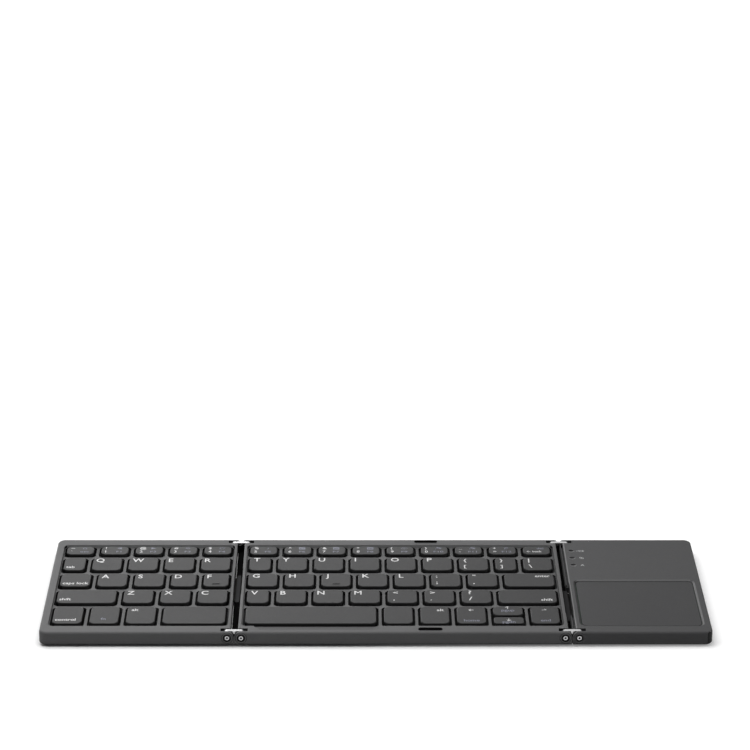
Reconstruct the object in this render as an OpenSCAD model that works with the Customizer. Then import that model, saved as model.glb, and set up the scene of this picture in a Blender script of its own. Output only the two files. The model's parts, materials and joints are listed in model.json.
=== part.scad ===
// Pocket keyboard in three panels. Two side panels swing up on double-pivot hinges
// and close like a pair of gates over the middle one.
// Millimetres. X runs along the keyboard, Y away from the typist, Z up.
// The origin is the middle of the unfolded keyboard, on the surface that it stands on.

/* [Case] */
// Length of the unfolded keyboard
case_length = 304.5; // [302:0.5:306]
// Depth of the keyboard, front to back
case_depth = 98; // [97:0.5:100]
// Height of the top faces above the surface
case_top = 7.3; // [7.1:0.1:7.6]
// Height of the rubber feet under the base plates
foot_height = 0.9; // [0.6:0.1:0.9]
// Thickness of a base plate
base_thickness = 0.8; // [0.7:0.05:0.85]
// Radius of the four outer corners, seen from above
corner_radius = 3.5; // [3:0.5:4.5]
// Radius of the edge round the top faces
edge_radius = 1; // [0.8:0.1:1.1]

/* [Hinges] */
// Middle of the left hinge; the right one follows, so that the closed gates meet
left_hinge_x = -64.15; // [-64.25:0.05:-64.05]
// Gap left between the two closed gates
meeting_gap = 1.2; // [1:0.1:1.4]
// Gap between facing top faces when closed
closing_gap = 0.4; // [0.4:0.05:0.6]
// Height of the hinge pins above the surface
pin_height = 4.35; // [4.3:0.05:4.4]
// Radius of a pin's shaft
pin_radius = 1; // [0.9:0.05:1.1]
// Radial play of a pin in a panel
pin_play = 0.05; // [0.03:0.01:0.1]
// Thickness of a link plate
link_thickness = 1.8; // [1.6:0.1:1.9]
// Skin of case left outside a link
link_cover = 1.4; // [1.3:0.1:1.6]
// Width of the window round the flat cable, between two panels
window_width = 3.8; // [3.6:0.1:3.9]

/* [Keys] */
// Key pitch on the left panel
left_pitch = 17.15; // [17:0.05:17.3]
// Key pitch on the middle panel
middle_pitch = 17.15; // [17:0.05:17.3]
// Distance between the middles of neighbouring rows
row_pitch = 17.2; // [17.1:0.05:17.2]
// Depth of the low number row
number_row_depth = 12.25; // [12:0.05:12.25]
// Depth of the row with the space bar
front_row_depth = 20.7; // [20.3:0.1:20.7]
// How far the key tops stay below the rims
key_drop = 0.1; // [0.1:0.05:0.3]
// Depth of the wells that the keys stand in
well_depth = 1.2; // [1:0.1:1.3]
// Width of the bars between two key holes
web_width = 1.3; // [1.1:0.1:1.4]
// Gap round the foot of a key
key_gap = 0.7; // [0.6:0.05:0.75]
// How much narrower a key's top is than its foot, on each side
key_draft = 0.3; // [0.2:0.05:0.4]
// Corner radius at the foot of a key
key_corner = 2.2; // [1.8:0.1:2.4]

/* [Touchpad] */
// Width of the touchpad
touchpad_width = 55; // [54:0.5:55.5]
// Depth of the touchpad, front to back
touchpad_depth = 46.1; // [44.1:0.2:46.5]
// How far the touchpad lies below the rim
touchpad_drop = 0.4; // [0.3:0.05:0.5]

/* [Hidden] */
$fn = 48;

case_colour = "#5f6164";
base_colour = "#3b3c3e";
key_colour = "#4c4e51";
metal_colour = "#d6d7d9";
rubber_colour = "#1b1b1c";
board_colour = "#2f5f45";
sheet_colour = "#8b9094";
copper_colour = "#b0703c";

half_length = case_length / 2;
half_depth = case_depth / 2;

rib_height = 0.45;
fit_play = 0.05;

// Levels, from the surface up
base_bottom = foot_height;
base_top = base_bottom + base_thickness;
rib_top = base_top + rib_height;
plate_thickness = 0.3;
plate_top = rib_top + plate_thickness;
sheet_thickness = 0.25;
sheet_top = plate_top + sheet_thickness;
well_floor = case_top - well_depth;
web_thickness = 0.9;
web_play = 0.05;
web_bottom = well_floor - web_thickness;
key_top = case_top - key_drop;
key_foot = web_bottom - 0.2;
stem_foot = key_foot + 0.05;
dome_top = stem_foot - 0.05;
bumper_top = case_top + closing_gap - 0.1;

// Case
wall = 1.2;
seam_step = 0.15;
base_edge = 0.45;
overrun = 2;
cavity_half_depth = 42.9;
rim_middle = 45.8;
rib_width = 0.8;

// Hinges
right_hinge_x = left_hinge_x + half_length + meeting_gap / 2;
pin_offset = case_top - pin_height + closing_gap / 2;
knuckle_radius = pin_offset - 0.1;
knuckle_splay = 0.15;
base_gap = 2;
room_gap = 2.6;
channel_half = 1.75;
cover_groove = [0.75, 1.7];
cover_groove_floor = 4.6;
link_radius = knuckle_radius - 0.3;
link_skirt = 1.5;
slot_play = 0.45;
eye_play = 0.1;
eye_radius = 1.75;
slot_reach = link_radius + 0.25;
slot_out = half_depth - link_cover;
link_out = slot_out - slot_play;
link_in = link_out - link_thickness;
slot_in = link_in - slot_play;
pin_in = 43.4;
pin_hole_in = 43.2;
pin_head_radius = 1.2;
pin_head_in = slot_out + 0.65;
pin_head_out = half_depth - 0.15;
pin_recess_radius = 0.55;
pin_recess = 0.9;
counterbore_radius = 1.9;
counterbore_in = slot_out + 0.6;
ear_ring = [2.45, 2.7];
ear_ring_depth = 0.2;
hinge_block = 7;
spine_half_width = 1.45;
spine_crest = 0.8;
spine_bottom = base_bottom + 0.05;
spine_shoulder = spine_bottom + 0.5;
spine_top = base_top + 0.5;
strip_width = 1.8;
strip_top = pin_height - (pin_offset - window_width / 2) - 0.1;
strip_bottom = strip_top - 0.25;
cable_bottom = spine_top + 0.04;
cable_thickness = 0.15;
cable_tail = 2.8;
left_cable_y = [-9.7, 18.2];
right_cable_y = [-28.8, 1.7];
cable_inset = 1.5;
window_play = 0.3;

// Key fields: the keys of each row fill the field's width
left_keys_x = -148.85;
left_field = 82.05;
middle_keys_x = -61.25;
middle_field = 146.75;
keys_back = 42.95;
well_back = 42.75;
well_front = -42.4;
well_inset = 0.15;
well_corner = 2.4;
row_edges = [
    keys_back,
    keys_back - number_row_depth,
    keys_back - number_row_depth - row_pitch,
    keys_back - number_row_depth - 2 * row_pitch,
    keys_back - number_row_depth - 3 * row_pitch,
    keys_back - number_row_depth - 3 * row_pitch - front_row_depth
];
left_rows = [
    [for (i = [1:5]) left_field / 5],
    fill_first(left_field, 4, left_pitch),
    [17.35, left_pitch, left_pitch, 15.2, left_field - 32.55 - 2 * left_pitch],
    fill_first(left_field, 3, left_pitch),
    [16.85, 16.6, 16.6, left_field - 50.05]
];
middle_rows = [
    [for (i = [1:9]) middle_field / 9],
    concat([13.6], repeat(middle_pitch, 6), [13.25, middle_field - 26.85 - 6 * middle_pitch]),
    concat(repeat(middle_pitch, 7), [middle_field - 7 * middle_pitch]),
    concat([13.6], repeat(middle_pitch, 6), [middle_field - 13.6 - 6 * middle_pitch]),
    [63.2, 16.65, 16.65, 16.7, 17.1, middle_field - 130.3]
];
arrow_column = 4;
arrow_split = 0.45;
arrow_shift = 1.2;
key_wall = 0.7;
key_crown = 0.8;
key_edge = 0.25;
stem_radius = 1.5;
homing_bar = [3.5, 0.5, 0.2];
homing_offset = 4;

// Domes and the plate under them
dome_foot_radius = 3.3;
dome_neck_radius = 2.3;
dome_tip_radius = 1.5;
dome_wall = 0.55;
hook_window = [1.2, 3];
hook_spread = 4.4;
plate_margin = 3.1;
plate_half_depth = 41;

// Fastenings: x of each pair, one screw at the front and one at the back
left_screws_x = [-141, -108, -77];
middle_screws_x = [-47, 12, 73];
right_screws_x = [101, 141];
screw_radius = 0.7;
screw_head_radius = 1.3;
screw_head_height = 0.55;
screw_tip = 4.4;
boss_radius = 1.8;

// Feet, bumpers and magnets
foot_size = [14, 5];
foot_recess = 0.3;
foot_y = 38;
left_feet_x = [-142];
middle_feet_x = [-49, 75];
right_feet_x = [142];
bumper_size = [11, 2.4];
bumper_x = 2 * right_hinge_x - half_length - meeting_gap / 2;
bumper_y = [-45.6, 46.4];
bumper_recess = 0.5;
bumper_corner = 1.15;
magnet_size = [5, 2, 1.3];
magnet_inset = 4;

// Finger notch in the middle panel's front rim
notch_x = [-55.6, 2.2];
notch_front = -46.7;
notch_slant = 3.2;
notch_corner = well_front - notch_front;

// Touchpad panel
touchpad_x = 93.4;
touchpad_front = -41.9;
touchpad_corner = 2.5;
touchpad_bevel = [0.9, 0.35];
touchpad_gap = 0.3;
cover_skin = 1.3;
lights_x = 93.9;
lights_y = [20.6, 28.3, 36];
light_radius = 1.45;
light_play = 0.05;
light_dish = 0.4;
light_pipe_radius = 0.9;
board_bottom = base_top + 0.6;
board_thickness = 0.8;
port_x = 135;
port_size = [7.5, 5.6, 2.6];
port_back = half_depth - 0.3;
port_mouth = [6.9, 1.9];
port_play = 0.25;
port_tongue = [3.8, 0.45];
board_y = [11, 41.2];
board_right = 146;
// Chips on the board as [x, y, width, depth]
chips = [[104, 24, 7, 7], [118, 30, 5, 5], [116, 16, 9, 4], [132, 17, 4, 6]];
chip_height = 1;
controller_x = [118, 124];
controller_y = [-1, 4];
controller_height = 0.4;
battery_x = [100, 146];
battery_y = [-38, 2];
battery_corner = 1.5;
battery_bottom = base_top + 0.05;
battery_thickness = 2.95;

// The first key takes what the others leave of the field
function fill_first(field, count, pitch) = concat([field - count * pitch], repeat(pitch, count));
function repeat(value, count) = [for (i = [1:count]) value];
function before(widths, i) = i == 0 ? 0 : widths[i - 1] + before(widths, i - 1);
// A key's cell as [left, right, front, back]
function cell(rows, field_x, row, i) = [
    field_x + before(rows[row], i),
    field_x + before(rows[row], i + 1),
    row_edges[row + 1],
    row_edges[row]
];
function left_cell(row, i) = cell(left_rows, left_keys_x, row, i);
function middle_cell(row, i) = cell(middle_rows, middle_keys_x, row, i);
function inset(c, by) = [c[0] + by, c[1] - by, c[2] + by, c[3] - by];
function middle_x(c) = (c[0] + c[1]) / 2;
function middle_y(c) = (c[2] + c[3]) / 2;
// The two halves of the arrow column, each as the cell of its own key
function arrow_half(c, upper) =
    let (split = middle_y(c) - arrow_shift, over = web_width / 2 + key_gap - arrow_split)
    upper ? [c[0], c[1], split - over, c[3]] : [c[0], c[1], c[2], split + over];
left_cells = [for (row = [0:4]) for (i = [0:len(left_rows[row]) - 1]) left_cell(row, i)];
middle_cells = [for (row = [0:4]) for (i = [0:len(middle_rows[row]) - 1]) middle_cell(row, i)];
arrow_cell = middle_cell(4, arrow_column);
middle_key_cells = concat(
    [for (c = middle_cells) if (c != arrow_cell) c],
    [arrow_half(arrow_cell, true), arrow_half(arrow_cell, false)]
);
// A quarter round from the side of a shape on to its top, as [inset, height] pairs
function round_edge(radius, top) =
    [for (a = [0:22.5:90]) [radius * (1 - cos(a)), top - radius * (1 - sin(a))]];

// ---- General shapes ----

// Extrudes a section drawn in x and z along Y
module along_y(from, to) {
    translate([0, to, 0]) rotate([90, 0, 0]) linear_extrude(to - from) children();
}

// Extrudes a section drawn in y and z along X
module along_x(from, to) {
    translate([from, 0, 0]) rotate([90, 0, 90]) linear_extrude(to - from) children();
}

// A block with upright rounded corners. Its sides follow [inset, height] pairs, from the bottom up
module rounded_block(x, y, radius, profile) {
    down = [for (i = [len(profile) - 1:-1:0]) profile[i]];
    along_x(x[0] + radius, x[1] - radius)
        polygon(concat([for (p = profile) [y[0] + p[0], p[1]]], [for (p = down) [y[1] - p[0], p[1]]]));
    along_y(y[0] + radius, y[1] - radius)
        polygon(concat([for (p = profile) [x[0] + p[0], p[1]]], [for (p = down) [x[1] - p[0], p[1]]]));
    for (corner_x = [x[0] + radius, x[1] - radius], corner_y = [y[0] + radius, y[1] - radius])
        translate([corner_x, corner_y, 0])
            rotate_extrude()
                polygon(concat([[0, profile[0][1]]], [for (p = profile) [radius - p[0], p[1]]],
                               [[0, down[0][1]]]));
}

// A plain upright block with rounded corners, between two levels
module rounded_slab(x, y, radius, z) {
    translate([0, 0, z[0]])
        linear_extrude(z[1] - z[0]) {
            translate([x[0] + radius, y[0]]) square([x[1] - x[0] - 2 * radius, y[1] - y[0]]);
            translate([x[0], y[0] + radius]) square([x[1] - x[0], y[1] - y[0] - 2 * radius]);
            for (corner_x = [x[0] + radius, x[1] - radius], corner_y = [y[0] + radius, y[1] - radius])
                translate([corner_x, corner_y]) circle(radius);
        }
}

module box(x, y, z) {
    translate([x[0], y[0], z[0]]) cube([x[1] - x[0], y[1] - y[0], z[1] - z[0]]);
}

// Puts the same thing at the front and, mirrored, at the back
module front_and_back() {
    children();
    mirror([0, 1, 0]) children();
}

// ---- Panels ----

function cable_y(hinge_x) = hinge_x == left_hinge_x ? left_cable_y : right_cable_y;

// The upright part of an ear, below its round top. side is 1 where the hinge is on the right
module ear_foot(pin_x, side) {
    foot = [
        [0, 0],
        [knuckle_radius - knuckle_splay, 0],
        [knuckle_radius, pin_height],
        [0, pin_height]
    ];
    front_and_back()
        along_y(slot_out, half_depth + 1)
            polygon([for (i = side > 0 ? [0:3] : [3:-1:0]) [pin_x + side * foot[i][0], foot[i][1]]]);
}

// The round nose of a shell along a hinge, about its pins' axis
module nose(pin_x) {
    along_y(-half_depth - 1, half_depth + 1)
        translate([pin_x, pin_height])
            circle(knuckle_radius);
}

// A panel's outside between two ends. An end at a hinge is given by its hinge, and a free end by undef.
// A shell ends in noses at its hinges, and a base plate ends upright under them
module panel_form(free_x, left_hinge, right_hinge, profile, shell) {
    end_gap = shell ? pin_offset : base_gap;
    from = is_undef(left_hinge) ? free_x : left_hinge - corner_radius;
    to = is_undef(right_hinge) ? free_x : right_hinge + corner_radius;
    section_from = is_undef(left_hinge) ? free_x - 1 : left_hinge + end_gap;
    section_to = is_undef(right_hinge) ? free_x + 1 : right_hinge - end_gap;
    difference() {
        intersection() {
            rounded_block([from, to], [-half_depth, half_depth], corner_radius, profile);
            union() {
                box([section_from, section_to], [-half_depth - 1, half_depth + 1], [0, case_top + 1]);
                if (!is_undef(left_hinge)) ear_foot(left_hinge + pin_offset, -1);
                if (!is_undef(right_hinge)) ear_foot(right_hinge - pin_offset, 1);
                if (shell && !is_undef(left_hinge)) nose(left_hinge + pin_offset);
                if (shell && !is_undef(right_hinge)) nose(right_hinge - pin_offset);
            }
        }
        if (!is_undef(left_hinge)) hinge_room(left_hinge, 1);
        if (!is_undef(right_hinge)) hinge_room(right_hinge, -1);
    }
}

// The room that a panel leaves at a hinge: the window round the cable, the slots of the two links and,
// but for the cover with its ridge, the channel along the hinge.
// side is 1 where the panel lies to the right of the hinge
module hinge_room(hinge_x, side) {
    window = [hinge_x - side * pin_offset, hinge_x + side * window_width / 2];
    slot = [hinge_x - side * pin_offset, hinge_x + side * (pin_offset + slot_reach)];
    box([min(window), max(window)],
        [cable_y(hinge_x)[0] - window_play, cable_y(hinge_x)[1] + window_play], [-1, case_top + 1]);
    front_and_back() box([min(slot), max(slot)], [slot_in, slot_out], [-1, case_top + 1]);
    channel = [hinge_x - side * pin_offset, hinge_x + side * channel_half];
    if (hinge_x == left_hinge_x || side < 0)
        box([min(channel), max(channel)], [-slot_in - fit_play, slot_in + fit_play], [-1, case_top + 1]);
}

// The holes for one end's two pins: bores in the rim, a counterbore for the head in the skin, and
// the shallow ring that is sunk into the ear around it
module pin_holes(pin_x) {
    front_and_back()
        along_y(pin_hole_in, half_depth + 1)
            translate([pin_x, pin_height])
                circle(pin_radius + pin_play);
    front_and_back()
        along_y(counterbore_in, half_depth + 1)
            translate([pin_x, pin_height])
                circle(counterbore_radius);
    front_and_back()
        along_y(half_depth - ear_ring_depth, half_depth + 1)
            translate([pin_x, pin_height])
                difference() {
                    circle(ear_ring[1]);
                    circle(ear_ring[0]);
                }
}

function shell_profile() = concat([[0, base_top]], round_edge(edge_radius, case_top));
function base_profile() = [
    [seam_step + base_edge, base_bottom],
    [seam_step, base_bottom + base_edge],
    [seam_step, base_top]
];

// The hollow inside a shell: the main room, and a cored channel in each rim with the screws' bosses
module hollow(x, rim_x, top, screws_x) {
    box(x, [-cavity_half_depth, cavity_half_depth], [base_top - overrun, top]);
    front_and_back()
        difference() {
            box(rim_x, [cavity_half_depth + rib_width, half_depth - wall],
                [base_top - overrun, web_bottom]);
            for (screw_x = screws_x)
                translate([screw_x, rim_middle, base_top - overrun - 1])
                    cylinder(r = boss_radius, h = web_bottom + overrun);
        }
}

// Pilot holes for the screws, up into the bosses
module screw_pilots(screws_x) {
    for (screw_x = screws_x, side = [-1, 1])
        translate([screw_x, side * rim_middle, base_top - 1])
            cylinder(r = screw_radius, h = screw_tip - base_top + 1.1);
}

// The opening in a rim that the keys stand in, down to their web
module key_well(field_x, field_width) {
    rounded_slab([field_x + well_inset, field_x + field_width - well_inset],
                 [well_front, well_back], well_corner, [well_floor - 0.01, case_top + 1]);
}

// The web between the keys: a plate that fits the shell from below, with one hole for each cell
module key_web(room_x, cells) {
    difference() {
        box([room_x[0] + web_play, room_x[1] - web_play],
            [-cavity_half_depth + web_play, cavity_half_depth - web_play], [web_bottom, well_floor]);
        for (c = cells) {
            hole = inset(c, web_width / 2);
            rounded_slab([hole[0], hole[1]], [hole[2], hole[3]], key_corner, [web_bottom - 1, case_top]);
        }
    }
}

// The slit in a hinge wall that the flex cable passes through
module cable_slit(hinge_x, side) {
    x = [hinge_x, hinge_x + side * (pin_offset + cable_tail)];
    y = cable_y(hinge_x);
    box([min(x), max(x)], [y[0] + cable_inset - window_play, y[1] - cable_inset + window_play],
        [cable_bottom - window_play, cable_bottom + cable_thickness + window_play]);
}

// Pockets for the magnets, in the roof of the rim's channel
module magnet_pockets(centre_x) {
    front_and_back() magnet(centre_x, fit_play);
}

module magnet(centre_x, play) {
    box([centre_x - magnet_size[0] / 2 - play, centre_x + magnet_size[0] / 2 + play],
        [rim_middle - magnet_size[1] / 2 - play, rim_middle + magnet_size[1] / 2 + play],
        [web_bottom - 5 * play, web_bottom + magnet_size[2] + play]);
}

// A base plate with its edge, recesses for the feet, countersunk holes, and a lip and ribs inside
module base_plate(free_x, left_hinge, right_hinge, room_x, ribs_x, screws_x, feet_x) {
    difference() {
        union() {
            panel_form(free_x, left_hinge, right_hinge, base_profile(), false);
            for (rib_x = concat([room_x[0] + rib_width / 2], ribs_x, [room_x[1] - rib_width / 2]))
                box([rib_x - rib_width / 2, rib_x + rib_width / 2], [-plate_half_depth, plate_half_depth],
                    [base_top - 0.1, rib_top]);
            for (rib_y = [-plate_half_depth, plate_half_depth])
                box(room_x, [rib_y - rib_width / 2, rib_y + rib_width / 2], [base_top - 0.1, rib_top]);
        }
        for (screw_x = screws_x, side = [-1, 1])
            translate([screw_x, side * rim_middle, base_bottom]) {
                translate([0, 0, -1]) cylinder(r = screw_radius + 0.1, h = base_thickness + 2);
                cylinder(r1 = screw_head_radius + fit_play, r2 = screw_radius + fit_play,
                         h = screw_head_height + fit_play);
                translate([0, 0, -1]) cylinder(r = screw_head_radius + fit_play, h = 1);
            }
        feet(feet_x, fit_play);
    }
}

module feet(feet_x, play) {
    for (foot_x = feet_x, side = [-1, 1])
        rounded_block([foot_x - foot_size[0] / 2 - play, foot_x + foot_size[0] / 2 + play],
                      [side * foot_y - foot_size[1] / 2 - play, side * foot_y + foot_size[1] / 2 + play],
                      2.4, [[0.4, 0], [0, 0.4], [0, base_bottom + foot_recess + play]]);
}

// Countersunk screws with a cross recess
module screws(screws_x) {
    for (screw_x = screws_x, side = [-1, 1])
        translate([screw_x, side * rim_middle, base_bottom + 0.02])
            difference() {
                union() {
                    cylinder(r1 = screw_head_radius, r2 = screw_radius, h = screw_head_height);
                    cylinder(r = screw_radius, h = screw_tip - base_bottom);
                }
                for (turn = [0, 90])
                    rotate(turn)
                        translate([-0.75, -0.15, -0.5]) cube([1.5, 0.3, 0.85]);
            }
}

// The stamped plate that carries the keys' linkages, with two windows for each key's hooks
module key_plate(x, cells) {
    difference() {
        box(x, [-plate_half_depth, plate_half_depth], [rib_top, plate_top]);
        for (c = cells, side = [-1, 1])
            translate([middle_x(c) + side * hook_spread, middle_y(c), rib_top])
                cube([hook_window[0], hook_window[1], 1], center = true);
    }
}

// The rubber sheet with one hollow dome under each key
module dome_sheet(x, cells) {
    difference() {
        union() {
            box(x, [-plate_half_depth, plate_half_depth], [plate_top, sheet_top]);
            for (c = cells)
                translate([middle_x(c), middle_y(c), 0])
                    rotate_extrude()
                        polygon([
                            [0, plate_top],
                            [dome_foot_radius, plate_top],
                            [dome_foot_radius, sheet_top + 0.2],
                            [dome_neck_radius, dome_top - 0.8],
                            [dome_tip_radius, dome_top - 0.6],
                            [dome_tip_radius, dome_top],
                            [0, dome_top]
                        ]);
        }
        for (c = cells)
            translate([middle_x(c), middle_y(c), 0])
                rotate_extrude()
                    polygon([
                        [0, plate_top - 1],
                        [dome_foot_radius - dome_wall, plate_top - 1],
                        [dome_foot_radius - dome_wall, sheet_top],
                        [dome_neck_radius - dome_wall, dome_top - 1.1],
                        [0, dome_top - 1.1]
                    ]);
    }
}

// ---- Keys ----

// One keycap: a drafted shell with a soft top edge and a stem that rests on its dome
module keycap(key_cell) {
    foot = inset(key_cell, web_width / 2 + key_gap);
    rise = key_top - key_foot;
    difference() {
        rounded_block([foot[0], foot[1]], [foot[2], foot[3]], key_corner, [
            [0, key_foot],
            [key_draft * (1 - key_edge / rise), key_top - key_edge],
            [key_draft + key_edge, key_top]
        ]);
        box([foot[0] + key_wall + key_draft, foot[1] - key_wall - key_draft],
            [foot[2] + key_wall + key_draft, foot[3] - key_wall - key_draft],
            [key_foot - 1, key_top - key_crown]);
    }
    translate([middle_x(foot), middle_y(foot), stem_foot])
        cylinder(r = stem_radius, h = key_top - stem_foot - key_crown / 2);
}

// The bar that the index finger feels for, low on a key's top
module homing_mark(key_cell) {
    y = middle_y(key_cell) - homing_offset;
    box([middle_x(key_cell) - homing_bar[0] / 2, middle_x(key_cell) + homing_bar[0] / 2],
        [y - homing_bar[1] / 2, y + homing_bar[1] / 2], [key_top - 0.1, key_top + homing_bar[2]]);
}

module left_keys(row, from, to) {
    for (i = [from:to]) keycap(left_cell(row, i));
}

module middle_keys(row, from, to) {
    for (i = [from:to]) keycap(middle_cell(row, i));
}

module number_keys_left() color(key_colour) left_keys(0, 0, 4);
module tab_key() color(key_colour) left_keys(1, 0, 0);
module letter_keys_q_to_r() color(key_colour) left_keys(1, 1, 4);
module caps_key() color(key_colour) left_keys(2, 0, 0);
module letter_keys_a_to_f() color(key_colour) {
    left_keys(2, 1, 4);
    homing_mark(left_cell(2, 4));
}
module left_shift_key() color(key_colour) left_keys(3, 0, 0);
module letter_keys_z_to_c() color(key_colour) left_keys(3, 1, 3);
module control_key() color(key_colour) left_keys(4, 0, 0);
module fn_key() color(key_colour) left_keys(4, 1, 1);
module left_alt_key() color(key_colour) left_keys(4, 2, 2);
module left_space_key() color(key_colour) left_keys(4, 3, 3);

module number_keys_right() color(key_colour) middle_keys(0, 0, 8);
module letter_keys_t_to_p() color(key_colour) middle_keys(1, 0, 8);
module letter_keys_g_to_l() color(key_colour) {
    middle_keys(2, 0, 6);
    homing_mark(middle_cell(2, 2));
}
module enter_key() color(key_colour) middle_keys(2, 7, 7);
module letter_keys_v_to_m() color(key_colour) middle_keys(3, 0, 6);
module right_shift_key() color(key_colour) middle_keys(3, 7, 7);
module space_key() color(key_colour) middle_keys(4, 0, 0);
module right_control_key() color(key_colour) middle_keys(4, 1, 1);
module right_alt_key() color(key_colour) middle_keys(4, 2, 2);
module arrow_left_key() color(key_colour) middle_keys(4, 3, 3);
module arrow_up_key() color(key_colour) keycap(arrow_half(arrow_cell, true));
module arrow_down_key() color(key_colour) keycap(arrow_half(arrow_cell, false));
module arrow_right_key() color(key_colour) middle_keys(4, 5, 5);

// ---- Middle panel ----

middle_room = [left_hinge_x + room_gap, right_hinge_x - room_gap];
middle_rim = [left_hinge_x + pin_offset + hinge_block, right_hinge_x - pin_offset - hinge_block];
middle_plate = [middle_room[0] + plate_margin, middle_room[1] - plate_margin];

module middle_base() color(base_colour)
    base_plate(undef, left_hinge_x, right_hinge_x, middle_plate, [-30, 0, 30, 60],
               middle_screws_x, middle_feet_x);

module middle_frame() color(case_colour)
    difference() {
        panel_form(undef, left_hinge_x, right_hinge_x, shell_profile(), true);
        key_well(middle_keys_x, middle_field);
        hollow(middle_room, middle_rim, well_floor, middle_screws_x);
        screw_pilots(middle_screws_x);
        pin_holes(left_hinge_x + pin_offset);
        pin_holes(right_hinge_x - pin_offset);
        cable_slit(left_hinge_x, 1);
        cable_slit(right_hinge_x, -1);
        magnet_pockets(bumper_x);
        bumper_strips(fit_play);
        finger_notch();
    }

// A hollow in the front rim for the finger that lifts the left gate, slanted at one end and round at
// the other
module finger_notch() {
    translate([0, 0, well_floor])
        linear_extrude(case_top)
            union() {
                polygon([
                    [notch_x[0], well_front + 0.1],
                    [notch_x[0] + notch_slant, notch_front],
                    [notch_x[1] - notch_corner, notch_front],
                    [notch_x[1] - notch_corner, well_front + 0.1]
                ]);
                translate([notch_x[1] - notch_corner, well_front]) circle(notch_corner);
            }
}

module bumper_strips(play) {
    for (y = bumper_y)
        rounded_block([bumper_x - bumper_size[0] / 2 - play, bumper_x + bumper_size[0] / 2 + play],
                      [y - bumper_size[1] / 2 - play, y + bumper_size[1] / 2 + play],
                      bumper_corner,
                      [[0, case_top - bumper_recess - play], [0, bumper_top - 0.2], [0.2, bumper_top]]);
}

module bumpers() color(rubber_colour) bumper_strips(0);
module middle_key_web() color(case_colour) key_web(middle_room, middle_cells);
module middle_key_plate() color(sheet_colour) key_plate(middle_plate, middle_key_cells);
module middle_dome_sheet() color(rubber_colour) dome_sheet(middle_plate, middle_key_cells);
module middle_magnets() color(metal_colour) front_and_back() magnet(bumper_x, 0);
module middle_screws() color(metal_colour) screws(middle_screws_x);
module middle_feet() color(rubber_colour) feet(middle_feet_x, 0);

// ---- Left panel ----

left_room = [-half_length + wall, left_hinge_x - room_gap];
left_rim = [-half_length + wall, left_hinge_x - pin_offset - hinge_block];
left_plate = [left_room[0] + 1.2, left_room[1] - plate_margin];

module left_base() color(base_colour)
    base_plate(-half_length, undef, left_hinge_x, left_plate, [-125, -98], left_screws_x, left_feet_x);

module left_frame() color(case_colour)
    difference() {
        panel_form(-half_length, undef, left_hinge_x, shell_profile(), true);
        key_well(left_keys_x, left_field);
        hollow(left_room, left_rim, well_floor, left_screws_x);
        screw_pilots(left_screws_x);
        pin_holes(left_hinge_x - pin_offset);
        cable_slit(left_hinge_x, -1);
        magnet_pockets(-half_length + magnet_inset);
    }

module left_key_web() color(case_colour) key_web(left_room, left_cells);
module left_key_plate() color(sheet_colour) key_plate(left_plate, left_cells);
module left_dome_sheet() color(rubber_colour) dome_sheet(left_plate, left_cells);
module left_magnets() color(metal_colour) front_and_back() magnet(-half_length + magnet_inset, 0);
module left_screws() color(metal_colour) screws(left_screws_x);
module left_feet() color(rubber_colour) feet(left_feet_x, 0);

// ---- Right panel ----

right_room = [right_hinge_x + room_gap, half_length - wall];
right_rim = [right_hinge_x + pin_offset + hinge_block, half_length - wall];
touchpad_span_x = [touchpad_x, touchpad_x + touchpad_width];
touchpad_span_y = [touchpad_front, touchpad_front + touchpad_depth];
cover_underside = case_top - cover_skin;
touchpad_board_bottom = cover_underside - board_thickness;

module right_base() color(base_colour)
    base_plate(half_length, right_hinge_x, undef, [right_room[0] + 1.2, right_room[1] - 1.2], [],
               right_screws_x, right_feet_x);

module right_cover() color(case_colour)
    difference() {
        panel_form(half_length, right_hinge_x, undef, shell_profile(), true);
        hollow(right_room, right_rim, cover_underside, right_screws_x);
        screw_pilots(right_screws_x);
        pin_holes(right_hinge_x + pin_offset);
        cable_slit(right_hinge_x, 1);
        box([right_hinge_x + cover_groove[0], right_hinge_x + cover_groove[1]],
            [-slot_in - fit_play, slot_in + fit_play], [cover_groove_floor, case_top + 1]);
        magnet_pockets(half_length - magnet_inset);
        touchpad_opening();
        for (y = lights_y)
            translate([lights_x, y, cover_underside - 1])
                cylinder(r = light_radius + light_play, h = case_top);
        port_bay();
    }

// The opening over the touchpad, with a wide bevel round its upper edge
module touchpad_opening() {
    width = touchpad_bevel[0];
    rounded_block([touchpad_span_x[0] - width, touchpad_span_x[1] + width],
                  [touchpad_span_y[0] - width, touchpad_span_y[1] + width],
                  touchpad_corner + width, [
                      [width, cover_underside - 1],
                      [width, case_top - touchpad_bevel[1]],
                      [0, case_top],
                      [0, case_top + 1]
                  ]);
}

// The room behind the charging port, and its mouth in the back wall
module port_bay() {
    box([port_x - port_size[0] / 2 - 0.8, port_x + port_size[0] / 2 + 0.8],
        [cavity_half_depth - 1, half_depth - wall],
        [base_top - overrun, board_bottom + board_thickness + port_size[2] + port_play]);
    along_y(half_depth - wall - 1, half_depth + 1)
        translate([port_x, board_bottom + board_thickness + port_size[2] / 2])
            port_outline(port_size[0] + 2 * port_play, port_size[2] + 2 * port_play);
}

// The outline of the port, with its two lower corners cut off
module port_outline(width, height) {
    cut = height * 0.35;
    polygon([
        [-width / 2 + cut, -height / 2],
        [width / 2 - cut, -height / 2],
        [width / 2, -height / 2 + cut],
        [width / 2, height / 2],
        [-width / 2, height / 2],
        [-width / 2, -height / 2 + cut]
    ]);
}

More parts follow.
